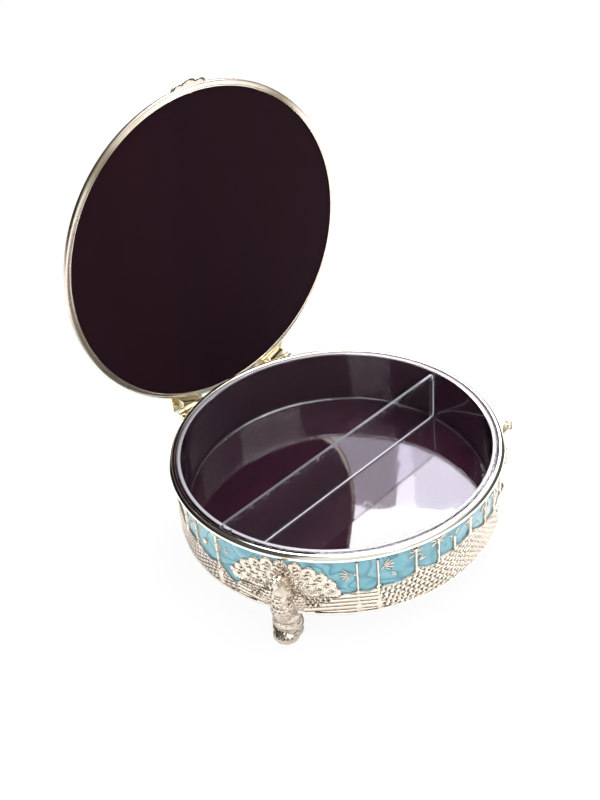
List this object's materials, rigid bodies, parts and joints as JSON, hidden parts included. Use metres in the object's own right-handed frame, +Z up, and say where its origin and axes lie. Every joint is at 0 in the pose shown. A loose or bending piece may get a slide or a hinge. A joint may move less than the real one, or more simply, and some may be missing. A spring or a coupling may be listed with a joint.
{
  "type": "dry fruit box",
  "caption": "Round enamelled metal dry fruit box on three cast peacock feet, with a hinged velvet-lined lid standing open over a clear divided tray.",
  "frame": {"origin": "on the box's own axis, in the plane of the three soles, where the box stands", "axes": "+Z up; +Y to the rear, towards the two hinges; +X to the box's right, seen from the front"},
  "size_m": [0.2218, 0.2368, 0.2891],
  "materials": {
    "cast_metal": "zinc alloy casting plated pale champagne silver, polished",
    "relief_metal": "zinc alloy casting plated pale champagne silver, bright on the raised work and toned in the recesses",
    "enamel": "marbled turquoise enamel, glossy",
    "hinge_metal": "pale gold plated brass",
    "steel": "plain steel",
    "clear_plastic": "clear moulded plastic, glossy",
    "velvet": "dark aubergine velvet",
    "card_board": "dense grey-brown card"
  },
  "bodies": {
    "root": {"wall_casting": "cast_metal", "enamel": "enamel", "fan_front_left": "relief_metal", "fan_front_right": "relief_metal", "fan_rear": "relief_metal", "bamboo_front": "relief_metal", "bamboo_right": "relief_metal", "bamboo_left": "relief_metal", "foot_front_left": "relief_metal", "foot_front_right": "relief_metal", "foot_rear": "relief_metal", "foot_screws": "steel", "base_plate": "cast_metal", "floor_board": "card_board", "floor_lining": "velvet", "wall_lining": "velvet", "tray": "clear_plastic", "divider": "clear_plastic", "base_leaf_left": "hinge_metal", "base_leaf_right": "hinge_metal", "hinge_pin_left": "steel", "hinge_pin_right": "steel"},
    "lid": {"lid_casting": "cast_metal", "lid_rosette": "relief_metal", "lid_enamel": "enamel", "lid_board": "card_board", "lid_lining": "velvet", "thumb_tab": "relief_metal", "lid_leaf_left": "hinge_metal", "lid_leaf_right": "hinge_metal"}
  },
  "joints": [
    {"name": "lid_hinge", "type": "hinge", "parent": "root", "child": "lid", "pos_m": [0, 0.1078, 0.06545], "axis": [1, 0, 0], "range_deg": [0, 90]}
  ]
}
